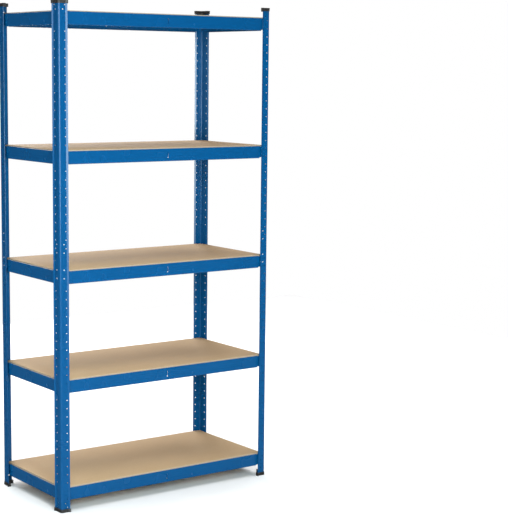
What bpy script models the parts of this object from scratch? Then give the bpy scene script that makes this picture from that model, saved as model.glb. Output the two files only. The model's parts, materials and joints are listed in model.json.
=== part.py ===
"""Boltless steel shelving with five tiers: folded and slotted corner posts in two halves,
hook-in shelf beams, centre tie bars, loose fibreboard shelves, plastic feet and caps.

Metres, +Z up. The long front faces -Y, and the floor is at Z = 0.
"""

import math

import bmesh
import bpy
from mathutils import Vector

# Overall sizes
WIDTH = 0.900
DEPTH = 0.450
POST_HALF_LENGTH = 0.900
CLEARANCE = 0.0003

# Corner post: a folded angle whose two open edges are turned a little outward
POST_STEEL = 0.0015
LONG_FLAT = 0.0275
SIDE_FLAT = 0.036
EDGE_WIDTH = 0.007
EDGE_TURN = math.radians(30)
POST_BEND = 0.005
BEND_STEPS = 4

# Hook holes and round holes in both flanges, at these distances from the post's corner.
# The punched pattern isn't mirrored, so it differs between posts of the two hands.
SLOT_PITCH = 0.030
SLOTS_PER_HALF = 30
SLOT_HEIGHT = 0.0034
SLOT_SILL = -0.0017
SLOT_LONG = {1: (0.0234, 0.0270), -1: (0.0092, 0.0128)}
SLOT_SIDE = {1: (0.0294, 0.0340), -1: (0.0120, 0.0166)}
HOLE_RADIUS = 0.0025
HOLE_SIDES = 8
HOLE_LONG = {1: 0.0170, -1: 0.0200}
HOLE_SIDE = {1: 0.0230, -1: 0.0205}
HOLES_FROM_END = (0.030, 0.060)

# Shelf beams
BEAM_STEEL = 0.0012
BEAM_HEIGHT = 0.046
BEAM_RECESS = 0.005
BEAM_EAR_START = 0.009
BEAM_FOLD_MARGIN = 0.002
LEDGE_DROP = 0.005
LEDGE_DEPTH = 0.016
BEAM_FOOT_DEPTH = 0.008
TIERS = (1, 14, 27, 41, 57)
TIER_ABOVE_SLOT = 0.009

# Hooks: two on each beam end, reaching out through neighbouring slots
HOOK_WIDTH = 0.0028
HOOK_END_PLAY = 0.0004
HOOK_DROP = 0.0014

# Centre tie bar under each shelf, with an end tab through a slot in each long beam
TIE_STEEL = 0.0015
TIE_SLOT_WIDTH = 0.004
TIE_SLOT_TOP = -0.013
TIE_SLOT_BOTTOM = -0.033
TIE_TAB_PLAY = 0.0008
TIE_FLANGE = 0.022
TIE_FOOT = 0.010
TIE_TAB_REACH = 0.0047

# Fibreboard shelf
BOARD_THICKNESS = 0.008
BOARD_EDGE_PLAY = 0.0046
BOARD_CORNER = 0.008

# Splice angle that joins the two halves of a post
COUPLER_LENGTH = 0.132
COUPLER_STEEL = 0.0012
COUPLER_NOTCH_HEIGHT = 0.010
COUPLER_NOTCH_MARGIN = 0.0022
STUD_RADIUS = 0.0021
STUD_PROUD = 0.0006

# Plastic caps and feet
PLASTIC_TOP = 0.0022
PLASTIC_SKIRT = 0.010
PLASTIC_SNUG = 0.0012
PLASTIC_FLARE = 0.0022
PLASTIC_END = 0.0012
PLASTIC_ARM = 0.0072
PLASTIC_RIB_LENGTH = 0.026
PLASTIC_RIB_REACH = 0.016
PLASTIC_RIB_TIP = 0.006
PLASTIC_PLAY = 0.0004

EDGE_OUT = EDGE_WIDTH * math.sin(EDGE_TURN)
LONG_FLANGE = LONG_FLAT + EDGE_WIDTH * math.cos(EDGE_TURN)
SIDE_FLANGE = SIDE_FLAT + EDGE_WIDTH * math.cos(EDGE_TURN)
POST_BOTTOM = PLASTIC_TOP + CLEARANCE

# name, side along X, side along Y
CORNERS = (
    ("front_left", -1, -1),
    ("front_right", 1, -1),
    ("back_left", -1, 1),
    ("back_right", 1, 1),
)


def clear_scene():
    for item in list(bpy.data.objects):
        bpy.data.objects.remove(item, do_unlink=True)


def make_material(name, colour, roughness, metallic):
    material = bpy.data.materials.new(name)
    material.use_nodes = True
    shader = material.node_tree.nodes["Principled BSDF"]
    shader.inputs["Base Color"].default_value = (*colour, 1.0)
    shader.inputs["Roughness"].default_value = roughness
    shader.inputs["Metallic"].default_value = metallic
    return material


def mesh_from(shape, name):
    """Turns a bmesh into a mesh datablock with outward normals."""
    bmesh.ops.recalc_face_normals(shape, faces=shape.faces)
    mesh = bpy.data.meshes.new(name)
    shape.to_mesh(mesh)
    shape.free()
    return mesh


def add_loft(shape, first, last):
    """Adds a closed solid between two outlines that have the same number of 3-D points."""
    lower = [shape.verts.new(point) for point in first]
    upper = [shape.verts.new(point) for point in last]
    shape.faces.new(lower)
    shape.faces.new(upper)
    count = len(lower)
    for index in range(count):
        after = (index + 1) % count
        shape.faces.new((lower[index], lower[after], upper[after], upper[index]))


def upright(outline, height):
    """Lifts a flat outline to one height."""
    return [(x, y, height) for x, y in outline]


def prism_mesh(outline, bottom, top, name):
    shape = bmesh.new()
    add_loft(shape, upright(outline, bottom), upright(outline, top))
    return mesh_from(shape, name)


def combine(mesh, tool, operation):
    """Cuts or joins a second mesh into the first and returns the result."""
    body = bpy.data.objects.new("body", mesh)
    cutter = bpy.data.objects.new("cutter", tool)
    for item in (body, cutter):
        bpy.context.collection.objects.link(item)
    modifier = body.modifiers.new("combine", "BOOLEAN")
    modifier.operation = operation
    modifier.solver = "EXACT"
    modifier.object = cutter
    bpy.context.view_layer.update()
    graph = bpy.context.evaluated_depsgraph_get()
    result = bpy.data.meshes.new_from_object(body.evaluated_get(graph))
    result.name = mesh.name
    for item in (body, cutter):
        bpy.data.objects.remove(item, do_unlink=True)
    return result


def solid_of_boxes(boxes, name, holes=()):
    """One closed mesh that fills the boxes less the holes, all square to the axes."""
    grid = []
    for axis in range(3):
        values = {round(corner[axis], 6) for box in (*boxes, *holes) for corner in box}
        grid.append(sorted(values))

    def covers(box, point):
        return all(box[0][axis] < point[axis] < box[1][axis] for axis in range(3))

    def middle(axis, index):
        return (grid[axis][index] + grid[axis][index + 1]) / 2

    filled = set()
    for i in range(len(grid[0]) - 1):
        for j in range(len(grid[1]) - 1):
            for k in range(len(grid[2]) - 1):
                point = (middle(0, i), middle(1, j), middle(2, k))
                if any(covers(box, point) for box in boxes):
                    if not any(covers(hole, point) for hole in holes):
                        filled.add((i, j, k))

    shape = bmesh.new()
    corners = {}

    def vertex(key):
        if key not in corners:
            corners[key] = shape.verts.new([grid[axis][key[axis]] for axis in range(3)])
        return corners[key]

    for cell in sorted(filled):
        for axis in range(3):
            side_a, side_b = (axis + 1) % 3, (axis + 2) % 3
            for step in (0, 1):
                neighbour = list(cell)
                neighbour[axis] += 1 if step else -1
                if tuple(neighbour) in filled:
                    continue
                ring = []
                for a, b in ((0, 0), (1, 0), (1, 1), (0, 1)):
                    key = list(cell)
                    key[axis] += step
                    key[side_a] += a
                    key[side_b] += b
                    ring.append(vertex(tuple(key)))
                shape.faces.new(ring)
    bmesh.ops.recalc_face_normals(shape, faces=shape.faces)
    bmesh.ops.dissolve_limit(
        shape, angle_limit=math.radians(0.1), verts=shape.verts, edges=shape.edges
    )
    return mesh_from(shape, name)


def place(name, mesh, material, location, turn=0.0):
    """Adds one named piece, turned about the vertical."""
    piece = bpy.data.objects.new(name, mesh)
    bpy.context.collection.objects.link(piece)
    if not mesh.materials:
        mesh.materials.append(material)
    piece.location = location
    piece.rotation_euler = (0.0, 0.0, turn)
    return piece


def arc(middle, radius, start, end, steps):
    """Points on a circle from one angle to another, in degrees."""
    points = []
    for step in range(steps + 1):
        angle = math.radians(start + (end - start) * step / steps)
        x = middle[0] + radius * math.cos(angle)
        y = middle[1] + radius * math.sin(angle)
        points.append((x, y))
    return points


def bend(radius):
    """The post's fold at one radius, from the long flange round to the side flange."""
    return arc((POST_BEND, POST_BEND), radius, 270, 180, BEND_STEPS)


def post_path():
    """Outer face of the post's sheet, from the turned edge of the long flange to the other."""
    long_edge = [(LONG_FLANGE, -EDGE_OUT), (LONG_FLAT, 0.0)]
    side_edge = [(0.0, SIDE_FLAT), (-EDGE_OUT, SIDE_FLANGE)]
    return long_edge + bend(POST_BEND) + side_edge


def shifted(path, distance, overrun):
    """A path moved sideways to its left, both its ends run on by the overrun."""
    points = [Vector(point) for point in path]
    headings = [(after - before).normalized() for before, after in zip(points, points[1:])]
    moved = []
    for index, point in enumerate(points):
        before = headings[max(index - 1, 0)]
        after = headings[min(index, len(headings) - 1)]
        sideways = Vector((-before.y, before.x))
        mitre = (before + after).orthogonal().normalized()
        moved.append(point + mitre * distance / mitre.dot(sideways))
    moved[0] -= headings[0] * overrun
    moved[-1] += headings[-1] * overrun
    return [tuple(point) for point in moved]


def post_section(grow):
    """Outline of the folded post with its outer corner at the origin, grown on every side."""
    outer = shifted(post_path(), grow, grow)
    inner = shifted(post_path(), -POST_STEEL - grow, grow)
    return outer + inner[::-1]


def mirrored(outline, hand):
    """Flips a flat outline for the pieces of the opposite hand."""
    return [(x * hand, y) for x, y in outline]


def circle(middle_a, middle_b, radius):
    """Corners of a round hole, its flats square to the axes."""
    points = []
    for step in range(HOLE_SIDES):
        angle = 2 * math.pi * (step + 0.5) / HOLE_SIDES
        points.append((middle_a + radius * math.cos(angle), middle_b + radius * math.sin(angle)))
    return points


def add_through_long(shape, outline, near, far, hand):
    """Adds a cutter or stud that runs across the long flange, from an (x, z) outline."""
    first = [(x * hand, near, z) for x, z in outline]
    last = [(x * hand, far, z) for x, z in outline]
    add_loft(shape, first, last)


def add_through_side(shape, outline, near, far, hand):
    """Adds a cutter or stud that runs across the side flange, from a (y, z) outline."""
    first = [(near * hand, y, z) for y, z in outline]
    last = [(far * hand, y, z) for y, z in outline]
    add_loft(shape, first, last)


def window(span, height, tall, below):
    """A rectangular opening between two distances from the post's corner."""
    start, end = span
    low = height - below
    high = low + tall
    return [(start, low), (end, low), (end, high), (start, high)]


def post_mesh(hand):
    """Half of a corner post, standing on its lower end."""
    outline = mirrored(post_section(0.0), hand)
    body = prism_mesh(outline, 0.0, POST_HALF_LENGTH, "post_half")
    punches = bmesh.new()
    near = -2 * POST_STEEL
    far = 2 * POST_STEEL
    for index in range(SLOTS_PER_HALF):
        height = SLOT_PITCH * (index + 0.5)
        long_slot = window(SLOT_LONG[hand], height, SLOT_HEIGHT, -SLOT_SILL)
        side_slot = window(SLOT_SIDE[hand], height, SLOT_HEIGHT, -SLOT_SILL)
        add_through_long(punches, long_slot, near, far, hand)
        add_through_side(punches, side_slot, near, far, hand)
    for from_end in HOLES_FROM_END:
        for height in (from_end, POST_HALF_LENGTH - from_end):
            long_hole = circle(HOLE_LONG[hand], height, HOLE_RADIUS)
            side_hole = circle(HOLE_SIDE[hand], height, HOLE_RADIUS)
            add_through_long(punches, long_hole, near, far, hand)
            add_through_side(punches, side_hole, near, far, hand)
    return combine(body, mesh_from(punches, "punches"), "DIFFERENCE")


def coupler_mesh(hand):
    """Splice angle centred on the joint, with pressed studs that snap into the round holes."""
    near = POST_STEEL + CLEARANCE
    far = near + COUPLER_STEEL
    outline = (
        [(LONG_FLAT, far), (LONG_FLAT, near)]
        + bend(POST_BEND - near)
        + [(near, SIDE_FLAT), (far, SIDE_FLAT)]
        + bend(POST_BEND - far)[::-1]
    )
    half = COUPLER_LENGTH / 2
    body = prism_mesh(mirrored(outline, hand), -half, half, "coupler")

    notches = bmesh.new()
    wide = COUPLER_NOTCH_MARGIN
    for height in (-1.5 * SLOT_PITCH, 1.5 * SLOT_PITCH):
        for span, add in ((SLOT_LONG, add_through_long), (SLOT_SIDE, add_through_side)):
            start, end = span[hand]
            below = COUPLER_NOTCH_HEIGHT / 2
            notch = window((start - wide, end + wide), height, COUPLER_NOTCH_HEIGHT, below)
            add(notches, notch, near - POST_STEEL, far + POST_STEEL, hand)
    body = combine(body, mesh_from(notches, "notches"), "DIFFERENCE")

    studs = bmesh.new()
    root = (near + far) / 2
    for from_end in HOLES_FROM_END:
        for height in (-from_end, from_end):
            long_stud = circle(HOLE_LONG[hand], height, STUD_RADIUS)
            side_stud = circle(HOLE_SIDE[hand], height, STUD_RADIUS)
            add_through_long(studs, long_stud, root, -STUD_PROUD, hand)
            add_through_side(studs, side_stud, root, -STUD_PROUD, hand)
    return combine(body, mesh_from(studs, "studs"), "UNION")


def beam_mesh(half_length, flange, slots, name, tie_slot=False):
    """Shelf beam along X. Y runs inward from the post's outer face, Z down from the top edge.

    The slots are the spans of the holes that its left and right hooks enter.
    """
    web_far = BEAM_RECESS + BEAM_STEEL
    hem_far = web_far + BEAM_STEEL
    ledge_far = BEAM_RECESS + LEDGE_DEPTH
    ledge_bottom = -LEDGE_DROP - BEAM_STEEL
    ear = half_length - BEAM_EAR_START
    fold = half_length - flange - BEAM_FOLD_MARGIN
    foot_top = -BEAM_HEIGHT + BEAM_STEEL
    boxes = [
        ((-ear, BEAM_RECESS, -BEAM_HEIGHT), (ear, web_far, 0.0)),
        ((-fold, web_far, ledge_bottom), (fold, hem_far, 0.0)),
        ((-fold, hem_far, ledge_bottom), (fold, ledge_far, -LEDGE_DROP)),
        ((-fold, web_far, -BEAM_HEIGHT), (fold, BEAM_RECESS + BEAM_FOOT_DEPTH, foot_top)),
    ]
    left = -half_length + slots[0][1] - HOOK_END_PLAY
    right = half_length - slots[1][1] + HOOK_END_PLAY
    hook_far = -CLEARANCE - BEAM_STEEL
    for step in (0, 1):
        height = -TIER_ABOVE_SLOT - step * SLOT_PITCH + SLOT_SILL + CLEARANCE
        for low, high in ((left - HOOK_WIDTH, left), (right, right + HOOK_WIDTH)):
            tongue = ((low, hook_far, height), (high, BEAM_RECESS, height + BEAM_STEEL))
            lip = ((low, hook_far, height - HOOK_DROP), (high, -CLEARANCE, height))
            boxes += [tongue, lip]
    holes = []
    if tie_slot:
        half = TIE_SLOT_WIDTH / 2
        low = (-half, BEAM_RECESS, TIE_SLOT_BOTTOM)
        high = (half, web_far, TIE_SLOT_TOP)
        holes.append((low, high))
    return solid_of_boxes(boxes, name, holes)


def tie_mesh():
    """Tie bar along Y, centred, with Z down from the beams' top edge."""
    half = TIE_STEEL / 2
    between = DEPTH / 2 - BEAM_RECESS - LEDGE_DEPTH - CLEARANCE
    tab_top = TIE_SLOT_TOP - TIE_TAB_PLAY
    tab_bottom = TIE_SLOT_BOTTOM + TIE_TAB_PLAY
    tab_end = DEPTH / 2 - TIE_TAB_REACH
    flange_bottom = -LEDGE_DROP - TIE_STEEL
    boxes = [
        ((-half, -between, tab_bottom), (half, between, -LEDGE_DROP)),
        ((-half, -tab_end, tab_bottom), (half, tab_end, tab_top)),
        ((half, -between, flange_bottom), (TIE_FLANGE, between, -LEDGE_DROP)),
        ((half, -between, tab_bottom), (TIE_FOOT, between, tab_bottom + TIE_STEEL)),
    ]
    return solid_of_boxes(boxes, "tie")


def board_mesh():
    """Loose shelf with rounded corners, lying on its underside."""
    edge = BEAM_RECESS + 2 * BEAM_STEEL + BOARD_EDGE_PLAY
    middle_x = WIDTH / 2 - edge - BOARD_CORNER
    middle_y = DEPTH / 2 - edge - BOARD_CORNER
    outline = []
    for start, x, y in ((0, 1, 1), (90, -1, 1), (180, -1, -1), (270, 1, -1)):
        middle = (x * middle_x, y * middle_y)
        outline += arc(middle, BOARD_CORNER, start, start + 90, BEND_STEPS)
    return prism_mesh(outline, 0.0, BOARD_THICKNESS, "board")


def plastic_outline(out):
    """Outline of a cap or foot, standing out from the post by the given amount."""
    outer = shifted(post_path(), out, PLASTIC_END)
    beyond = POST_STEEL * math.sin(EDGE_TURN) + PLASTIC_END
    far_x = LONG_FLANGE + beyond
    far_y = SIDE_FLANGE + beyond
    arm = PLASTIC_ARM
    first = [(far_x, arm), (far_x, outer[0][1])]
    last = [(outer[-1][0], far_y), (arm, far_y), (arm, arm)]
    return first + outer + last


def plastic_mesh(hand, upward, name):
    """Cap (upward = 1) or foot (upward = -1), its origin level with the post's end."""
    shut = upward * (CLEARANCE + PLASTIC_TOP)
    open_edge = -upward * PLASTIC_SKIRT
    shape = bmesh.new()
    wide = mirrored(plastic_outline(PLASTIC_FLARE), hand)
    snug = mirrored(plastic_outline(PLASTIC_SNUG), hand)
    add_loft(shape, upright(snug, open_edge), upright(wide, shut))
    body = mesh_from(shape, name)

    groove_outline = mirrored(post_section(PLASTIC_PLAY), hand)
    ends = sorted((upward * CLEARANCE, 2 * open_edge))
    groove = prism_mesh(groove_outline, *ends, "groove")
    body = combine(body, groove, "DIFFERENCE")

    wall = POST_STEEL + 2 * PLASTIC_PLAY
    reach = PLASTIC_RIB_REACH
    tip = PLASTIC_RIB_TIP
    rib_outline = [
        (POST_BEND, wall),
        (reach, wall),
        (reach, tip),
        (tip, reach),
        (wall, reach),
        (wall, POST_BEND),
    ]
    ends = sorted((open_edge / 2, -upward * PLASTIC_RIB_LENGTH))
    rib = prism_mesh(mirrored(rib_outline, hand), *ends, "rib")
    return combine(body, rib, "UNION")


def build_posts(paint, plastic):
    halves = {hand: post_mesh(hand) for hand in (1, -1)}
    couplers = {hand: coupler_mesh(hand) for hand in (1, -1)}
    caps = {hand: plastic_mesh(hand, 1, "cap") for hand in (1, -1)}
    feet = {hand: plastic_mesh(hand, -1, "foot") for hand in (1, -1)}
    joint = POST_BOTTOM + POST_HALF_LENGTH
    top = joint + CLEARANCE + POST_HALF_LENGTH
    for corner, side_x, side_y in CORNERS:
        turn = 0.0 if side_y < 0 else math.pi
        hand = 1 if side_x == side_y else -1
        x = side_x * WIDTH / 2
        y = side_y * DEPTH / 2
        place(f"lower_post_{corner}", halves[hand], paint, (x, y, POST_BOTTOM), turn)
        place(f"upper_post_{corner}", halves[hand], paint, (x, y, joint + CLEARANCE), turn)
        place(f"post_coupler_{corner}", couplers[hand], paint, (x, y, joint), turn)
        place(f"foot_{corner}", feet[hand], plastic, (x, y, POST_BOTTOM), turn)
        place(f"cap_{corner}", caps[hand], plastic, (x, y, top), turn)


def build_tiers(paint, fibreboard):
    long_slots = (SLOT_LONG[1], SLOT_LONG[-1])
    side_slots = (SLOT_SIDE[-1], SLOT_SIDE[1])
    long_beam = beam_mesh(WIDTH / 2, LONG_FLANGE, long_slots, "long_beam", tie_slot=True)
    side_beam = beam_mesh(DEPTH / 2, SIDE_FLANGE, side_slots, "side_beam")
    tie = tie_mesh()
    board = board_mesh()
    for number, first_slot in enumerate(TIERS, start=1):
        slot_height = SLOT_PITCH * (first_slot + 1.5)
        above_joint = CLEARANCE if slot_height > POST_HALF_LENGTH else 0.0
        top = POST_BOTTOM + slot_height + TIER_ABOVE_SLOT + above_joint
        front = (0.0, -DEPTH / 2, top)
        back = (0.0, DEPTH / 2, top)
        left = (-WIDTH / 2, 0.0, top)
        right = (WIDTH / 2, 0.0, top)
        place(f"tier_{number}_beam_front", long_beam, paint, front)
        place(f"tier_{number}_beam_back", long_beam, paint, back, math.pi)
        place(f"tier_{number}_beam_left", side_beam, paint, left, -math.pi / 2)
        place(f"tier_{number}_beam_right", side_beam, paint, right, math.pi / 2)
        place(f"tier_{number}_tie_bar", tie, paint, (0.0, 0.0, top))
        rest = top - LEDGE_DROP + CLEARANCE
        place(f"tier_{number}_board", board, fibreboard, (0.0, 0.0, rest))


def build():
    clear_scene()
    paint = make_material("blue_paint", (0.0, 0.11, 0.35), 0.42, 0.0)
    fibreboard = make_material("fibreboard", (0.50, 0.36, 0.23), 0.85, 0.0)
    plastic = make_material("black_plastic", (0.02, 0.02, 0.022), 0.55, 0.0)
    build_posts(paint, plastic)
    build_tiers(paint, fibreboard)


build()
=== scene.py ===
"""Boltless steel shelving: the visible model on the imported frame, with its materials, light and camera.

Metres, +Z up, the long front towards -Y. Each visible piece is made about its own origin and
put where the frame's node box is.
"""

import json
import math

import bmesh
import bpy
from mathutils import Matrix, Vector


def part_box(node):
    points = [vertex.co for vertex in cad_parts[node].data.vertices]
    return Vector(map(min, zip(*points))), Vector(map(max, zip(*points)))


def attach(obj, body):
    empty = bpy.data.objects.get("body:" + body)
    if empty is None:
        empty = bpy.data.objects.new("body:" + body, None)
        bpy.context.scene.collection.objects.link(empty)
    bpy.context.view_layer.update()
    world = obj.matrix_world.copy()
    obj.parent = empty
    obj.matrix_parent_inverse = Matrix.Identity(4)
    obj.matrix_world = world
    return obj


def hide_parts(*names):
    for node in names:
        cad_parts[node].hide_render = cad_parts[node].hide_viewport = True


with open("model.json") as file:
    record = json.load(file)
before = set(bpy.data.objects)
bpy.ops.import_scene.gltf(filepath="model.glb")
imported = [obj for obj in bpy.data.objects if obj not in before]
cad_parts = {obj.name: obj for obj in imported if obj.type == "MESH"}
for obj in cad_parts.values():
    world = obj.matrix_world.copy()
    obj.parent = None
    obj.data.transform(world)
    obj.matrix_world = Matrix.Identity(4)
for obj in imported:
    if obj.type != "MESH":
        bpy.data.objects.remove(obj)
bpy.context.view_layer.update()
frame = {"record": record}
BODIES = frame["record"]["behaviour"]["bodies"]

TIERS = 5
CORNERS = ("front_left", "front_right", "back_left", "back_right")
SMOOTH_ANGLE = math.radians(40)

# Folded sheet; the posts' open edges are turned a little outward
POST_STEEL = 0.0015
POST_INNER_BEND = 0.0035
EDGE_WIDTH = 0.007
EDGE_TURN = math.radians(30)
EDGE_OUT = EDGE_WIDTH * math.sin(EDGE_TURN)
EDGE_INNER_BEND = 0.0015
BEAM_STEEL = 0.0012
TIE_STEEL = 0.0015
FOLD_STEPS = 6
CLEARANCE = 0.0003

# Punched hook holes, the shallow groove beside each, and round holes, at these distances
# from the post's corner. The pattern isn't mirrored between posts of the two hands.
SLOT_PITCH = 0.030
SLOT_HEIGHT = 0.0034
SLOT_SILL = -0.0017
SLOT_ROUND = 0.0004
SLOTS = {
    "long": {1: (0.0234, 0.0270), -1: (0.0092, 0.0128)},
    "side": {1: (0.0294, 0.0340), -1: (0.0120, 0.0166)},
}
GROOVE_LENGTH = 0.0135
GROOVE_HEIGHT = 0.0016
GROOVE_DEPTH = 0.0007
HOLE_RADIUS = 0.0025
HOLE_SIDES = 16
HOLES = {"long": {1: 0.0170, -1: 0.0200}, "side": {1: 0.0230, -1: 0.0205}}
HOLES_FROM_END = (0.030, 0.060)

# Shelf beams, measured inward from the posts' outer faces and down from the top edge
BEAM_RECESS = 0.005
BEAM_FOLD_FROM_POST = 0.002
BEAM_LOWER_BEND = 0.0028
HEM_GAP = 0.0003
LEDGE_DROP = 0.005
LEDGE_DEPTH = 0.016
LEDGE_BEND = 0.0005
BEAM_FOOT_DEPTH = 0.008
HOOK_BEND = 0.0004
LINE_COUNT = 4
LINE_BELOW_TOP = 0.0055
LINE_PITCH = 0.0093
LINE_WIDTH = 0.0072
LINE_DEPTH = 0.0007
LINE_OVERCUT = 0.1
HOOK_WIDTH = 0.0028
HOOK_END_PLAY = 0.0004
HOOK_DROP = 0.0014
TIER_ABOVE_SLOT = 0.009
TIE_SLOT_WIDTH = 0.004
TIE_SLOT_ROUND = 0.0018
TIE_SLOT_TOP = -0.013
TIE_SLOT_BOTTOM = -0.033
TIE_TAB_PLAY = 0.0008
TIE_FLANGE = 0.022
TIE_FOOT = 0.010
TIE_BEND = 0.001

# Splice angle
COUPLER_STEEL = 0.0012
COUPLER_NOTCHES = (-1.5 * SLOT_PITCH, 1.5 * SLOT_PITCH)
COUPLER_NOTCH_HEIGHT = 0.010
COUPLER_NOTCH_MARGIN = 0.0022
COUPLER_NOTCH_ROUND = 0.0015
STUD_RADIUS = 0.0021
STUD_PROUD = 0.0006
STUD_STEPS = 5
STUD_DOME = math.radians(80)

# Fibreboard
BOARD_CORNER = 0.008
BOARD_EDGE_ROUND = 0.0006

# Plastic caps and feet
PLASTIC_TOP = 0.0022
PLASTIC_SKIRT = 0.010
PLASTIC_SNUG = 0.0012
PLASTIC_FLARE = 0.0022
PLASTIC_END = 0.0012
PLASTIC_CREASE = 0.0003
PLASTIC_ARM = 0.0072
PLASTIC_ROUND = 0.0009
PLASTIC_RIB_LENGTH = 0.026
PLASTIC_RIB_REACH = 0.016
PLASTIC_RIB_TIP = 0.006
PLASTIC_RIB_ROUND = 0.0005
PLASTIC_PLAY = 0.0004

# Camera: its place, its turns in degrees and its lens in millimetres
CAMERA_PLACE = (-2.895, -4.692, 1.570)
CAMERA_YAW = 36.32
CAMERA_PITCH = 7.37
CAMERA_ROLL = 0.61
CAMERA_LENS = 101.2

# Studio: each soft box has a place, a point it faces, a size, a power and a colour
FLOOR_HALF_SIDE = 3.4
WORLD_GLOW = 0.06
WHITE_LIGHT = (1.0, 1.0, 1.0)
COOL_LIGHT = (0.82, 0.97, 1.0)
OVERHEAD_POWER = 3.0
OVERHEAD_SPREAD = math.radians(70)
SOFTBOXES = {
    "key": ((-1.95, -2.82, 1.42), (-0.45, -0.22, 1.35), (1.3, 1.6), 60.0, COOL_LIGHT),
    "strip": ((-0.97, -3.18, 1.55), (-0.45, -0.22, 1.50), (0.40, 1.5), 70.0, COOL_LIGHT),
    "left": ((-3.4, -0.1, 1.9), (-0.45, -0.1, 1.5), (0.8, 1.2), 14.0, COOL_LIGHT),
    "back": ((0.8, 3.2, 2.3), (0.0, 0.0, 0.8), (2.4, 2.0), 95.0, WHITE_LIGHT),
}


# ---------------------------------------------------------------- shapes


def mesh_from(shape, name):
    """Turns a bmesh into a mesh with outward normals, smooth across gentle edges only."""
    bmesh.ops.recalc_face_normals(shape, faces=shape.faces)
    mesh = bpy.data.meshes.new(name)
    shape.to_mesh(mesh)
    shape.free()
    mesh.shade_smooth()
    mesh.set_sharp_from_angle(angle=SMOOTH_ANGLE)
    return mesh


def add_stack(shape, rings):
    """Adds one closed solid through a stack of rings that have the same number of points."""
    levels = [[shape.verts.new(point) for point in ring] for ring in rings]
    count = len(levels[0])
    shape.faces.new(levels[0])
    shape.faces.new(levels[-1])
    for lower, upper in zip(levels, levels[1:]):
        for index in range(count):
            after = (index + 1) % count
            shape.faces.new((lower[index], lower[after], upper[after], upper[index]))


def upright(outline, height):
    return [(x, y, height) for x, y in outline]


def mirrored(outline, hand):
    return [(x * hand, y) for x, y in outline]


def combine(mesh, tool, operation):
    """Cuts or joins a second mesh into the first and returns the result."""
    body = bpy.data.objects.new("body", mesh)
    cutter = bpy.data.objects.new("cutter", tool)
    for item in (body, cutter):
        bpy.context.scene.collection.objects.link(item)
    modifier = body.modifiers.new("combine", "BOOLEAN")
    modifier.operation = operation
    modifier.solver = "EXACT"
    modifier.object = cutter
    bpy.context.view_layer.update()
    graph = bpy.context.evaluated_depsgraph_get()
    result = bpy.data.meshes.new_from_object(body.evaluated_get(graph))
    result.name = mesh.name
    for item in (body, cutter):
        bpy.data.objects.remove(item, do_unlink=True)
    result.shade_smooth()
    result.set_sharp_from_angle(angle=SMOOTH_ANGLE)
    return result


def turned(direction):
    """The direction a quarter turn to the right, which is the side the sheet lies on."""
    return Vector((direction.y, -direction.x))


def folded_pairs(path, steel, inner_bends):
    """Pairs of points on the two faces of a sheet folded along a path.

    The path is the face on the left. Each bend has its own inside radius, and a point
    where the path runs straight on only divides it.
    """
    points = [Vector(point) for point in path]
    first = (points[1] - points[0]).normalized()
    pairs = [(points[0], points[0] + turned(first) * steel)]
    for index in range(1, len(points) - 1):
        here = points[index]
        before = (here - points[index - 1]).normalized()
        after = (points[index + 1] - here).normalized()
        cross = before.x * after.y - before.y * after.x
        if abs(cross) < 1e-6:
            pairs.append((here, here + turned(before) * steel))
            continue
        to_right = cross < 0
        inside = inner_bends[index - 1]
        on_path = inside + steel if to_right else inside
        on_back = inside if to_right else inside + steel
        angle = before.angle(after)
        start = here - before * on_path * math.tan(angle / 2)
        towards = turned(before) if to_right else -turned(before)
        centre = start + towards * on_path
        sweep = -angle if to_right else angle
        for step in range(FOLD_STEPS + 1):
            turn = sweep * step / FOLD_STEPS
            spoke = -towards
            rotated = Vector(
                (
                    spoke.x * math.cos(turn) - spoke.y * math.sin(turn),
                    spoke.x * math.sin(turn) + spoke.y * math.cos(turn),
                )
            )
            pairs.append((centre + rotated * on_path, centre + rotated * on_back))
    last = (points[-1] - points[-2]).normalized()
    pairs.append((points[-1], points[-1] + turned(last) * steel))
    return pairs


def outline_of(pairs):
    front = [tuple(pair[0]) for pair in pairs]
    back = [tuple(pair[1]) for pair in pairs]
    return front + back[::-1]


def straight_stretch(pairs, low, high):
    """Index of the straight stretch of sheet that lies between two heights."""
    for index in range(len(pairs) - 1):
        start, end = pairs[index][0], pairs[index + 1][0]
        bottom, top = sorted((start.y, end.y))
        if abs(start.x - end.x) < 1e-6 and bottom <= low and top >= high:
            return index
    raise ValueError("no straight stretch there")


def folded_bar(pairs, half_length, eared, half_eared, name):
    """A folded bar along X whose one straight stretch of sheet runs on past both ends."""
    shape = bmesh.new()
    rings = {}
    for side in (-1, 1):
        x = side * half_length
        fronts = [shape.verts.new((x, *pair[0])) for pair in pairs]
        backs = [shape.verts.new((x, *pair[1])) for pair in pairs]
        rings[side] = (fronts, backs)
    count = len(pairs)
    for row in (0, 1):
        for index in range(count - 1):
            left, right = rings[-1][row], rings[1][row]
            shape.faces.new((left[index], left[index + 1], right[index + 1], right[index]))
    for index in (0, count - 1):
        left, right = rings[-1], rings[1]
        shape.faces.new((left[0][index], left[1][index], right[1][index], right[0][index]))
    for side in (-1, 1):
        fronts, backs = rings[side]
        for index in range(count - 1):
            if index != eared:
                shape.faces.new((fronts[index], fronts[index + 1], backs[index + 1], backs[index]))
        ring = [fronts[eared], fronts[eared + 1], backs[eared + 1], backs[eared]]
        far = [shape.verts.new((side * half_eared, *vert.co.yz)) for vert in ring]
        shape.faces.new(far)
        for index in range(4):
            after = (index + 1) % 4
            shape.faces.new((ring[index], ring[after], far[after], far[index]))
    return mesh_from(shape, name)


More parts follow.
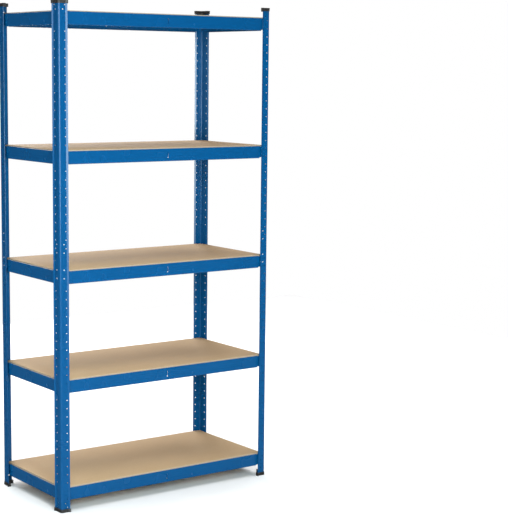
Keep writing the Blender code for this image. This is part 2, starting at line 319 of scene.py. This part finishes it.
def rounded(corners, radius, steps=3):
    """A flat polygon with its convex corners rounded off."""
    points = []
    count = len(corners)
    for index in range(count):
        here = Vector(corners[index])
        before = (here - Vector(corners[index - 1])).normalized()
        after = (Vector(corners[(index + 1) % count]) - here).normalized()
        reach = radius * math.tan(before.angle(after) / 2)
        start, end = here - before * reach, here + after * reach
        for step in range(steps + 1):
            part = step / steps
            low = start.lerp(here, part)
            high = here.lerp(end, part)
            points.append(tuple(low.lerp(high, part)))
    return points


def circle(middle_a, middle_b, radius, sides=HOLE_SIDES):
    points = []
    for step in range(sides):
        angle = 2 * math.pi * (step + 0.5) / sides
        points.append((middle_a + radius * math.cos(angle), middle_b + radius * math.sin(angle)))
    return points


def add_across(shape, flange, outlines, depths, hand):
    """Adds a solid that runs across one flange, through outlines in (along, up) at each depth."""
    rings = []
    for outline, depth in zip(outlines, depths):
        if flange == "long":
            rings.append([(a * hand, depth, z) for a, z in outline])
        else:
            rings.append([(depth * hand, a, z) for a, z in outline])
    add_stack(shape, rings)


# ---------------------------------------------------------------- pieces


def window(start, end, height, tall):
    """A rectangular opening between two distances from the post's corner."""
    low, high = height - tall / 2, height + tall / 2
    return [(start, low), (end, low), (end, high), (start, high)]


def groove_outline(span, hand, height):
    """The groove beside a hook hole: towards the post's corner, or away from it."""
    start, end = span
    middle = (start + end) / 2
    if hand > 0:
        return window(start - GROOVE_LENGTH, middle, height, GROOVE_HEIGHT)
    return window(middle, end + GROOVE_LENGTH, height, GROOVE_HEIGHT)


def post_path(long_flange, side_flange):
    """Outer face of the post's sheet, from the turned edge of the long flange to the other."""
    thickness = POST_STEEL * math.sin(EDGE_TURN)
    long_end, side_end = long_flange - thickness, side_flange - thickness
    along = EDGE_WIDTH * math.cos(EDGE_TURN)
    return [
        (long_end, -EDGE_OUT),
        (long_end - along, 0.0),
        (0.0, 0.0),
        (0.0, side_end - along),
        (-EDGE_OUT, side_end),
    ]


def post_mesh(hand, long_flange, side_flange, length):
    pairs = folded_pairs(
        post_path(long_flange, side_flange),
        POST_STEEL,
        (EDGE_INNER_BEND, POST_INNER_BEND, EDGE_INNER_BEND),
    )
    shape = bmesh.new()
    outline = mirrored(outline_of(pairs), hand)
    add_stack(shape, [upright(outline, 0.0), upright(outline, length)])
    body = mesh_from(shape, "post_half")

    punches = bmesh.new()
    grooves = bmesh.new()
    through = (-2 * POST_STEEL, 2 * POST_STEEL)
    pressed = (-POST_STEEL, GROOVE_DEPTH)
    for index in range(round(length / SLOT_PITCH)):
        height = SLOT_PITCH * (index + 0.5)
        for flange, spans in SLOTS.items():
            span = spans[hand]
            middle = height + SLOT_SILL + SLOT_HEIGHT / 2
            slot = rounded(window(*span, middle, SLOT_HEIGHT), SLOT_ROUND, steps=2)
            groove = rounded(groove_outline(span, hand, height), SLOT_ROUND, steps=2)
            add_across(punches, flange, (slot, slot), through, hand)
            add_across(grooves, flange, (groove, groove), pressed, hand)
    for from_end in HOLES_FROM_END:
        for height in (from_end, length - from_end):
            for flange, along in HOLES.items():
                hole = circle(along[hand], height, HOLE_RADIUS)
                add_across(punches, flange, (hole, hole), through, hand)
    body = combine(body, mesh_from(grooves, "grooves"), "DIFFERENCE")
    return combine(body, mesh_from(punches, "punches"), "DIFFERENCE")


def coupler_mesh(hand, reach_x, reach_y, length):
    """Splice angle about the joint, inside both post halves."""
    near = POST_STEEL + CLEARANCE
    path = [(reach_x, near), (near, near), (near, reach_y)]
    inside = POST_STEEL + POST_INNER_BEND - near - COUPLER_STEEL
    pairs = folded_pairs(path, COUPLER_STEEL, (inside,))
    shape = bmesh.new()
    outline = mirrored(outline_of(pairs), hand)
    add_stack(shape, [upright(outline, -length / 2), upright(outline, length / 2)])
    body = mesh_from(shape, "coupler")

    notches = bmesh.new()
    depths = (near - POST_STEEL, near + COUPLER_STEEL + POST_STEEL)
    wide = COUPLER_NOTCH_MARGIN
    for height in COUPLER_NOTCHES:
        for flange, spans in SLOTS.items():
            start, end = spans[hand]
            notch = window(start - wide, end + wide, height, COUPLER_NOTCH_HEIGHT)
            notch = rounded(notch, COUPLER_NOTCH_ROUND)
            add_across(notches, flange, (notch, notch), depths, hand)
    return combine(body, mesh_from(notches, "notches"), "DIFFERENCE")


def studs_mesh(hand):
    """The splice angle's studs, one in each round hole, with low domed heads."""
    root = POST_STEEL + CLEARANCE
    shape = bmesh.new()
    levels = [(root, 1.0)]
    for step in range(STUD_STEPS + 1):
        angle = STUD_DOME * step / STUD_STEPS
        levels.append((-STUD_PROUD * math.sin(angle), math.cos(angle)))
    depths = [depth for depth, _ in levels]
    for from_end in HOLES_FROM_END:
        for height in (-from_end, from_end):
            for flange, along in HOLES.items():
                rings = [circle(along[hand], height, STUD_RADIUS * part) for _, part in levels]
                add_across(shape, flange, rings, depths, hand)
    return mesh_from(shape, "studs")


def beam_pairs(height):
    """Section of a shelf beam: return lip, web, hemmed top edge and ledge, as (inward, up)."""
    web = BEAM_RECESS
    hem = web + 2 * BEAM_STEEL + HEM_GAP
    path = [
        (web + BEAM_FOOT_DEPTH, -height),
        (web, -height),
        (web, 0.0),
        (hem, 0.0),
        (hem, -LEDGE_DROP),
        (web + LEDGE_DEPTH, -LEDGE_DROP),
    ]
    return folded_pairs(path, BEAM_STEEL, (BEAM_LOWER_BEND, HEM_GAP / 2, HEM_GAP / 2, LEDGE_BEND))


def rolled_lines(reach):
    """Shallow lines along a beam's outer face, as solids to be cut out of it."""
    shape = bmesh.new()
    outer = BEAM_RECESS - LINE_OVERCUT * LINE_DEPTH
    half = (1 + LINE_OVERCUT) * LINE_WIDTH / 2
    for index in range(LINE_COUNT):
        middle = -LINE_BELOW_TOP - index * LINE_PITCH
        outline = [
            (BEAM_RECESS + LINE_DEPTH, middle),
            (outer, middle - half),
            (outer, middle + half),
        ]
        add_stack(shape, [[(x, y, z) for y, z in outline] for x in (-reach, reach)])
    return mesh_from(shape, "lines")


def add_hook(shape, low, high, height):
    """One hook: a tongue from the ear out through the slot, its lip turned down outside."""
    outer = -CLEARANCE - BEAM_STEEL
    path = [
        (outer, height - HOOK_DROP),
        (outer, height + BEAM_STEEL),
        (BEAM_RECESS + BEAM_STEEL / 2, height + BEAM_STEEL),
    ]
    outline = outline_of(folded_pairs(path, BEAM_STEEL, (HOOK_BEND,)))
    add_stack(shape, [[(x, y, z) for y, z in outline] for x in (low, high)])


def beam_mesh(span, height, ear_span, flange, slots, name, tie_slot):
    """Shelf beam along X, Y inward from the posts' outer face and Z down from the top edge.

    The slots are the spans of the holes that its left and right hooks enter.
    """
    pairs = beam_pairs(height)
    fold = span / 2 - flange - BEAM_FOLD_FROM_POST
    web = straight_stretch(pairs, -0.75 * height, -0.25 * height)
    body = folded_bar(pairs, fold, web, ear_span / 2, name)
    body = combine(body, rolled_lines(fold - LINE_WIDTH), "DIFFERENCE")

    hooks = bmesh.new()
    left = -span / 2 + slots[0][1] - HOOK_END_PLAY
    right = span / 2 - slots[1][1] + HOOK_END_PLAY
    for step in (0, 1):
        sill = -TIER_ABOVE_SLOT - step * SLOT_PITCH + SLOT_SILL + CLEARANCE
        add_hook(hooks, left - HOOK_WIDTH, left, sill)
        add_hook(hooks, right, right + HOOK_WIDTH, sill)
    body = combine(body, mesh_from(hooks, "hooks"), "UNION")
    if not tie_slot:
        return body

    half = TIE_SLOT_WIDTH / 2
    corners = [
        (-half, TIE_SLOT_BOTTOM),
        (half, TIE_SLOT_BOTTOM),
        (half, TIE_SLOT_TOP),
        (-half, TIE_SLOT_TOP),
    ]
    slot = rounded(corners, TIE_SLOT_ROUND)
    punch = bmesh.new()
    depths = (BEAM_RECESS - BEAM_STEEL, BEAM_RECESS + 2 * BEAM_STEEL)
    add_across(punch, "long", (slot, slot), depths, 1)
    return combine(body, mesh_from(punch, "punch"), "DIFFERENCE")


def tie_mesh(between, tab_span):
    """Tie bar along X: a foot, a web whose lower part carries the end tabs, and a top flange."""
    half = TIE_STEEL / 2
    bottom = TIE_SLOT_BOTTOM + TIE_TAB_PLAY
    tab_top = TIE_SLOT_TOP - TIE_TAB_PLAY
    path = [
        (TIE_FOOT, bottom),
        (-half, bottom),
        (-half, tab_top),
        (-half, -LEDGE_DROP),
        (TIE_FLANGE, -LEDGE_DROP),
    ]
    pairs = folded_pairs(path, TIE_STEEL, (TIE_BEND, 0.0, TIE_BEND))
    web = straight_stretch(pairs, 0.8 * bottom, 1.1 * tab_top)
    return folded_bar(pairs, between / 2, web, tab_span / 2, "tie_bar")


def board_mesh(size):
    """Shelf with rounded corners and lightly broken edges; its sides take the second material."""
    half_x, half_y = size.x / 2, size.y / 2
    corners = [(-half_x, -half_y), (half_x, -half_y), (half_x, half_y), (-half_x, half_y)]
    outline = rounded(corners, BOARD_CORNER, steps=FOLD_STEPS)
    shape = bmesh.new()
    rings = [upright(outline, 0.0), upright(outline, size.z)]
    add_stack(shape, rings)
    rims = [edge for edge in shape.edges if abs(edge.verts[0].co.z - edge.verts[1].co.z) < 1e-6]
    bmesh.ops.bevel(
        shape, geom=rims, offset=BOARD_EDGE_ROUND, segments=2, profile=0.5, affect="EDGES"
    )
    mesh = mesh_from(shape, "board")
    for face in mesh.polygons:
        face.material_index = 0 if abs(face.normal.z) > 0.5 else 1
    return mesh


def longer(path, overrun):
    """A path with both its ends run on in their own directions."""
    points = [Vector(point) for point in path]
    points[0] += (points[0] - points[1]).normalized() * overrun
    points[-1] += (points[-1] - points[-2]).normalized() * overrun
    return points


def around_post(out, path):
    """Points that stand out by the given amount from a path along the post's outer face."""
    bends = (PLASTIC_CREASE, POST_STEEL + POST_INNER_BEND, PLASTIC_CREASE)
    return [tuple(back) for _, back in folded_pairs(path[::-1], out, bends)][::-1]


def plastic_outline(out, long_flange, side_flange):
    """Outline of a cap or foot, standing out from the post by the given amount."""
    outer = around_post(out, longer(post_path(long_flange, side_flange), PLASTIC_END))
    far_x, far_y = long_flange + PLASTIC_END, side_flange + PLASTIC_END
    arm = PLASTIC_ARM
    first = [(far_x, arm), (far_x, outer[0][1])]
    last = [(outer[-1][0], far_y), (arm, far_y), (arm, arm)]
    return first + outer + last


def pocket_outline(long_flange, side_flange):
    """Outline of the pocket in a cap or foot that takes the post's end, with a little play."""
    path = longer(post_path(long_flange, side_flange), PLASTIC_PLAY)
    bends = (EDGE_INNER_BEND, POST_INNER_BEND - PLASTIC_PLAY, EDGE_INNER_BEND)
    inner = [tuple(back) for _, back in folded_pairs(path, POST_STEEL + PLASTIC_PLAY, bends)]
    return around_post(PLASTIC_PLAY, path) + inner[::-1]


def plastic_mesh(hand, upward, long_flange, side_flange):
    """Cap (upward = 1) or foot (upward = -1), its origin level with the post's end."""
    shut = CLEARANCE + PLASTIC_TOP
    rise = PLASTIC_FLARE - PLASTIC_SNUG
    levels = [
        (-PLASTIC_SKIRT, PLASTIC_SNUG - 0.3 * PLASTIC_ROUND),
        (-PLASTIC_SKIRT + 0.3 * PLASTIC_ROUND, PLASTIC_SNUG),
        (-0.3 * PLASTIC_SKIRT, PLASTIC_SNUG + 0.55 * rise),
        (shut - PLASTIC_ROUND, PLASTIC_FLARE),
        (shut - 0.3 * PLASTIC_ROUND, PLASTIC_FLARE - 0.3 * PLASTIC_ROUND),
        (shut, PLASTIC_FLARE - PLASTIC_ROUND),
    ]
    shape = bmesh.new()
    rings = []
    for height, out in levels:
        outline = mirrored(plastic_outline(out, long_flange, side_flange), hand)
        rings.append(upright(outline, height * upward))
    add_stack(shape, rings)
    body = mesh_from(shape, "plastic")

    pocket = bmesh.new()
    outline = mirrored(pocket_outline(long_flange, side_flange), hand)
    heights = (upward * CLEARANCE, -2 * upward * PLASTIC_SKIRT)
    add_stack(pocket, [upright(outline, height) for height in heights])
    body = combine(body, mesh_from(pocket, "pocket"), "DIFFERENCE")

    wall = POST_STEEL + 2 * PLASTIC_PLAY
    bend = POST_STEEL + POST_INNER_BEND
    reach, tip = PLASTIC_RIB_REACH, PLASTIC_RIB_TIP
    corners = [(bend, wall), (reach, wall), (reach, tip), (tip, reach), (wall, reach), (wall, bend)]
    outline = mirrored(rounded(corners, PLASTIC_RIB_ROUND), hand)
    rib = bmesh.new()
    heights = (-0.5 * upward * PLASTIC_SKIRT, -upward * PLASTIC_RIB_LENGTH)
    add_stack(rib, [upright(outline, height) for height in heights])
    return combine(body, mesh_from(rib, "rib"), "UNION")


# ---------------------------------------------------------------- materials


def new_material(name):
    """A material, its node tree and its Principled shader."""
    material = bpy.data.materials.new(name)
    material.use_nodes = True
    tree = material.node_tree
    return material, tree, tree.nodes["Principled BSDF"]


def add_node(tree, kind, **settings):
    node = tree.nodes.new(kind)
    for name, value in settings.items():
        setattr(node, name, value)
    return node


def object_coordinates(tree, stretch=(1.0, 1.0, 1.0)):
    """The piece's own coordinates in metres, stretched for a texture with a grain."""
    source = add_node(tree, "ShaderNodeTexCoord")
    mapping = add_node(tree, "ShaderNodeMapping")
    mapping.inputs["Scale"].default_value = stretch
    tree.links.new(source.outputs["Object"], mapping.inputs["Vector"])
    return mapping.outputs["Vector"]


def noise(tree, vector, scale, detail=2.0, roughness=0.5):
    texture = add_node(tree, "ShaderNodeTexNoise")
    texture.inputs["Scale"].default_value = scale
    texture.inputs["Detail"].default_value = detail
    texture.inputs["Roughness"].default_value = roughness
    tree.links.new(vector, texture.inputs["Vector"])
    return texture.outputs["Fac"]


def spread(tree, value, low, high, to_low, to_high):
    """Maps a value from one range to another, clamped."""
    node = add_node(tree, "ShaderNodeMapRange")
    node.inputs["From Min"].default_value = low
    node.inputs["From Max"].default_value = high
    node.inputs["To Min"].default_value = to_low
    node.inputs["To Max"].default_value = to_high
    tree.links.new(value, node.inputs["Value"])
    return node.outputs["Result"]


def mix_colours(tree, factor, first, second):
    """Mixes two colours, each a plain value or another node's output."""
    node = add_node(tree, "ShaderNodeMix", data_type="RGBA")
    tree.links.new(factor, node.inputs["Factor"])
    for name, colour in (("A", first), ("B", second)):
        socket = next(s for s in node.inputs if s.name == name and s.type == "RGBA")
        if isinstance(colour, tuple):
            socket.default_value = (*colour, 1.0)
        else:
            tree.links.new(colour, socket)
    return next(s for s in node.outputs if s.type == "RGBA")


def bump(tree, height, strength, distance, below=None):
    node = add_node(tree, "ShaderNodeBump")
    node.inputs["Strength"].default_value = strength
    node.inputs["Distance"].default_value = distance
    tree.links.new(height, node.inputs["Height"])
    if below is not None:
        tree.links.new(below, node.inputs["Normal"])
    return node.outputs["Normal"]


def paint_material():
    """Blue powder coat: fine orange peel, a little cloudiness, slightly uneven gloss."""
    material, tree, shader = new_material("blue_powder_coat")
    place = object_coordinates(tree)
    cloud = noise(tree, place, 7.0, detail=3.0)
    speckle = noise(tree, place, 900.0, detail=2.0)
    peel = noise(tree, place, 420.0, detail=2.0, roughness=0.45)
    wave = noise(tree, place, 14.0, detail=1.0)

    tone = spread(tree, cloud, 0.35, 0.65, 0.0, 1.0)
    base = mix_colours(tree, tone, (0.0, 0.073, 0.212), (0.0, 0.076, 0.222))
    flecks = spread(tree, speckle, 0.62, 0.80, 0.0, 0.20)
    tree.links.new(mix_colours(tree, flecks, base, (0.0005, 0.094, 0.275)), shader.inputs["Base Color"])
    tree.links.new(spread(tree, wave, 0.3, 0.7, 0.25, 0.28), shader.inputs["Roughness"])
    tree.links.new(bump(tree, peel, 0.10, 0.0004), shader.inputs["Normal"])
    shader.inputs["Specular IOR Level"].default_value = 0.45
    return material


def board_face_material():
    """Raw fibreboard face: pressed fibres, sanding lines and broad mottling."""
    material, tree, shader = new_material("fibreboard_face")
    place = object_coordinates(tree)
    sanded = object_coordinates(tree, (0.06, 1.0, 1.0))
    fibres = noise(tree, place, 650.0, detail=4.0, roughness=0.6)
    clumps = noise(tree, place, 130.0, detail=3.0)
    mottle = noise(tree, place, 5.0, detail=3.0)
    lines = noise(tree, sanded, 420.0, detail=2.0)

    light, dark = (0.520, 0.358, 0.203), (0.420, 0.275, 0.143)
    base = mix_colours(tree, spread(tree, fibres, 0.30, 0.70, 0.0, 1.0), dark, light)
    base = mix_colours(tree, spread(tree, clumps, 0.35, 0.75, 0.0, 0.35), base, (0.570, 0.405, 0.248))
    base = mix_colours(tree, spread(tree, lines, 0.45, 0.75, 0.0, 0.22), base, (0.385, 0.248, 0.135))
    base = mix_colours(tree, spread(tree, mottle, 0.35, 0.70, 0.0, 0.18), base, (0.585, 0.420, 0.258))
    tree.links.new(base, shader.inputs["Base Color"])
    tree.links.new(spread(tree, clumps, 0.3, 0.7, 0.74, 0.86), shader.inputs["Roughness"])
    sanding = bump(tree, lines, 0.08, 0.0003)
    tree.links.new(bump(tree, fibres, 0.18, 0.0003, sanding), shader.inputs["Normal"])
    shader.inputs["Specular IOR Level"].default_value = 0.35
    return material


def board_edge_material():
    """Sawn fibreboard edge: paler and more open than the face, in fine layers through its thickness."""
    material, tree, shader = new_material("fibreboard_edge")
    place = object_coordinates(tree)
    layered = object_coordinates(tree, (1.0, 1.0, 6.0))
    fibres = noise(tree, place, 900.0, detail=4.0, roughness=0.65)
    layers = noise(tree, layered, 160.0, detail=3.0)

    base = mix_colours(
        tree, spread(tree, layers, 0.30, 0.70, 0.0, 1.0), (0.50, 0.37, 0.25), (0.66, 0.53, 0.39)
    )
    base = mix_colours(tree, spread(tree, fibres, 0.40, 0.72, 0.0, 0.45), base, (0.36, 0.25, 0.16))
    tree.links.new(base, shader.inputs["Base Color"])
    tree.links.new(spread(tree, fibres, 0.3, 0.7, 0.80, 0.95), shader.inputs["Roughness"])
    tree.links.new(bump(tree, fibres, 0.45, 0.0004), shader.inputs["Normal"])
    shader.inputs["Specular IOR Level"].default_value = 0.25
    return material


def plastic_material():
    """Black moulded plastic with a spark-eroded grain, rubbed a little paler in patches."""
    material, tree, shader = new_material("black_moulded_plastic")
    place = object_coordinates(tree)
    grain = noise(tree, place, 1400.0, detail=2.0)
    rub = noise(tree, place, 90.0, detail=4.0)
    tone = spread(tree, rub, 0.45, 0.75, 0.0, 1.0)
    base = mix_colours(tree, tone, (0.022, 0.019, 0.018), (0.050, 0.045, 0.043))
    tree.links.new(base, shader.inputs["Base Color"])
    tree.links.new(spread(tree, rub, 0.3, 0.7, 0.42, 0.58), shader.inputs["Roughness"])
    tree.links.new(bump(tree, grain, 0.15, 0.0003), shader.inputs["Normal"])
    return material


def zinc_material():
    """Bright, slightly matt zinc plating: faint spangle and fine rolling lines."""
    material, tree, shader = new_material("bright_zinc")
    place = object_coordinates(tree)
    rolled = object_coordinates(tree, (1.0, 1.0, 0.05))
    spangle = add_node(tree, "ShaderNodeTexVoronoi")
    spangle.inputs["Scale"].default_value = 260.0
    tree.links.new(place, spangle.inputs["Vector"])
    lines = noise(tree, rolled, 900.0, detail=2.0)
    tone = spread(tree, spangle.outputs["Distance"], 0.0, 0.8, 0.0, 1.0)
    base = mix_colours(tree, tone, (0.93, 0.94, 0.95), (0.82, 0.83, 0.84))
    tree.links.new(base, shader.inputs["Base Color"])
    tree.links.new(spread(tree, lines, 0.3, 0.7, 0.38, 0.50), shader.inputs["Roughness"])
    tree.links.new(bump(tree, lines, 0.10, 0.0002), shader.inputs["Normal"])
    shader.inputs["Metallic"].default_value = 0.4
    return material


def floor_material():
    """Pale seamless floor with the faintest unevenness."""
    material, tree, shader = new_material("studio_floor")
    tone = spread(tree, noise(tree, object_coordinates(tree), 3.0, detail=4.0), 0.3, 0.7, 0.0, 1.0)
    base = mix_colours(tree, tone, (0.905, 0.90, 0.90), (0.93, 0.925, 0.925))
    tree.links.new(base, shader.inputs["Base Color"])
    shader.inputs["Roughness"].default_value = 0.9
    shader.inputs["Specular IOR Level"].default_value = 0.1
    return material


# ---------------------------------------------------------------- assembly


def place(node, mesh, materials, slot, location, turn=0.0, suffix="visible"):
    """Puts one visible piece in its CAD node's place, riding on that node's body."""
    if not mesh.materials:
        for material in materials:
            mesh.materials.append(material)
    piece = bpy.data.objects.new(f"{node}_{suffix}", mesh)
    bpy.context.scene.collection.objects.link(piece)
    piece.location = location
    piece.rotation_euler = (0.0, 0.0, turn)
    body = next(name for name, nodes in BODIES.items() if node in nodes)
    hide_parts(node)
    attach(piece, body)
    return piece


def size_of(node):
    low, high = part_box(node)
    return high - low


def post_meshes(hand):
    """The pieces of one corner, for one hand, about the post's outer corner."""
    low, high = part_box("lower_post_front_left")
    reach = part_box("post_coupler_front_left")[1]
    corner_x, corner_y = low.x + EDGE_OUT, low.y + EDGE_OUT
    flanges = (high.x - corner_x, high.y - corner_y)
    reaches = (reach.x - corner_x, reach.y - corner_y)
    return {
        "post": post_mesh(hand, *flanges, high.z - low.z),
        "coupler": coupler_mesh(hand, *reaches, size_of("post_coupler_front_left").z),
        "studs": studs_mesh(hand),
        "cap": plastic_mesh(hand, 1, *flanges),
        "foot": plastic_mesh(hand, -1, *flanges),
    }


def build_posts(paint, zinc, plastic):
    meshes = {hand: post_meshes(hand) for hand in (1, -1)}
    for corner in CORNERS:
        front, left = corner.startswith("front"), corner.endswith("left")
        made = meshes[1 if front == left else -1]
        turn = 0.0 if front else math.pi
        low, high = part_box(f"lower_post_{corner}")
        upper_low, upper_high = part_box(f"upper_post_{corner}")
        x = low.x + EDGE_OUT if left else high.x - EDGE_OUT
        y = low.y + EDGE_OUT if front else high.y - EDGE_OUT
        bottom, joint, top = (x, y, low.z), (x, y, high.z), (x, y, upper_high.z)
        above_joint = (x, y, upper_low.z)
        coupler = f"post_coupler_{corner}"
        place(f"lower_post_{corner}", made["post"], [paint], "blue_paint", bottom, turn)
        place(f"upper_post_{corner}", made["post"], [paint], "blue_paint", above_joint, turn)
        place(coupler, made["coupler"], [paint], "blue_paint", joint, turn)
        place(coupler, made["studs"], [zinc], "bright_zinc", joint, turn, suffix="studs")
        place(f"foot_{corner}", made["foot"], [plastic], "black_plastic", bottom, turn)
        place(f"cap_{corner}", made["cap"], [plastic], "black_plastic", top, turn)


def build_tiers(paint, board_materials):
    low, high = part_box("lower_post_front_left")
    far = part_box("lower_post_back_right")[1]
    corner_x, corner_y = low.x + EDGE_OUT, low.y + EDGE_OUT
    width, depth = far.x - EDGE_OUT - corner_x, far.y - EDGE_OUT - corner_y
    front, left = size_of("tier_1_beam_front"), size_of("tier_1_beam_left")
    long_flange, side_flange = high.x - corner_x, high.y - corner_y
    slots = (SLOTS["long"][1], SLOTS["long"][-1])
    long_beam = beam_mesh(width, front.z, front.x, long_flange, slots, "long_beam", True)
    slots = (SLOTS["side"][-1], SLOTS["side"][1])
    side_beam = beam_mesh(depth, left.z, left.y, side_flange, slots, "side_beam", False)
    between = depth - 2 * (BEAM_RECESS + LEDGE_DEPTH + CLEARANCE)
    tie = tie_mesh(between, size_of("tier_1_tie_bar").y)
    board = board_mesh(size_of("tier_1_board"))
    quarter = math.pi / 2
    for tier in range(1, TIERS + 1):
        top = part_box(f"tier_{tier}_beam_front")[1].z
        for side, mesh, spot, turn in (
            ("front", long_beam, (0.0, -depth / 2, top), 0.0),
            ("back", long_beam, (0.0, depth / 2, top), math.pi),
            ("left", side_beam, (-width / 2, 0.0, top), -quarter),
            ("right", side_beam, (width / 2, 0.0, top), quarter),
        ):
            place(f"tier_{tier}_beam_{side}", mesh, [paint], "blue_paint", spot, turn)
        place(f"tier_{tier}_tie_bar", tie, [paint], "blue_paint", (0.0, 0.0, top), -quarter)
        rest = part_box(f"tier_{tier}_board")[0].z
        place(f"tier_{tier}_board", board, board_materials, "fibreboard", (0.0, 0.0, rest))


# ---------------------------------------------------------------- light, floor, camera


def add_floor(material):
    shape = bmesh.new()
    bmesh.ops.create_grid(shape, x_segments=1, y_segments=1, size=FLOOR_HALF_SIDE)
    mesh = bpy.data.meshes.new("floor")
    shape.to_mesh(mesh)
    shape.free()
    mesh.materials.append(material)
    floor = bpy.data.objects.new("floor", mesh)
    bpy.context.scene.collection.objects.link(floor)
    floor.visible_glossy = False


def add_softbox(name, spot, aim, size, power, colour):
    """A rectangular light that faces its aim and isn't itself seen."""
    light = bpy.data.lights.new(name, "AREA")
    light.shape = "RECTANGLE"
    light.size, light.size_y = size
    light.energy = power
    light.color = colour
    lamp = bpy.data.objects.new(name, light)
    bpy.context.scene.collection.objects.link(lamp)
    lamp.location = spot
    lamp.rotation_euler = (Vector(aim) - Vector(spot)).to_track_quat("-Z", "Y").to_euler()
    lamp.visible_camera = False


def add_overhead():
    """A very broad light from straight above, for the bright floor and its soft shadows."""
    light = bpy.data.lights.new("overhead", "SUN")
    light.energy = OVERHEAD_POWER
    light.angle = OVERHEAD_SPREAD
    lamp = bpy.data.objects.new("overhead", light)
    bpy.context.scene.collection.objects.link(lamp)


def add_world():
    """White behind the object, and a dimmer even glow for light and reflections."""
    world = bpy.data.worlds.new("studio")
    bpy.context.scene.world = world
    world.use_nodes = True
    tree = world.node_tree
    glow = tree.nodes["Background"]
    glow.inputs["Color"].default_value = (0.95, 0.97, 1.0, 1.0)
    glow.inputs["Strength"].default_value = WORLD_GLOW
    backdrop = add_node(tree, "ShaderNodeBackground")
    backdrop.inputs["Color"].default_value = (1.0, 1.0, 1.0, 1.0)
    backdrop.inputs["Strength"].default_value = 1.0
    path = add_node(tree, "ShaderNodeLightPath")
    mix = add_node(tree, "ShaderNodeMixShader")
    tree.links.new(path.outputs["Is Camera Ray"], mix.inputs["Fac"])
    tree.links.new(glow.outputs["Background"], mix.inputs[1])
    tree.links.new(backdrop.outputs["Background"], mix.inputs[2])
    tree.links.new(mix.outputs["Shader"], tree.nodes["World Output"].inputs["Surface"])


def add_camera():
    lens = bpy.data.cameras.new("camera")
    lens.lens = CAMERA_LENS
    lens.clip_start = 0.05
    camera = bpy.data.objects.new("camera", lens)
    bpy.context.scene.collection.objects.link(camera)
    camera.location = CAMERA_PLACE
    yaw, pitch = math.radians(CAMERA_YAW), math.radians(CAMERA_PITCH)
    forward = Vector(
        (math.sin(yaw) * math.cos(pitch), math.cos(yaw) * math.cos(pitch), -math.sin(pitch))
    )
    level = forward.to_track_quat("-Z", "Y").to_matrix()
    spin = Matrix.Rotation(math.radians(CAMERA_ROLL), 3, "Z")
    camera.rotation_euler = (level @ spin).to_euler()
    bpy.context.scene.camera = camera


paint = paint_material()
build_posts(paint, zinc_material(), plastic_material())
build_tiers(paint, [board_face_material(), board_edge_material()])

add_floor(floor_material())
add_world()
add_overhead()
for name, settings in SOFTBOXES.items():
    add_softbox(name, *settings)
add_camera()
bpy.context.scene.view_settings.view_transform = "Standard"
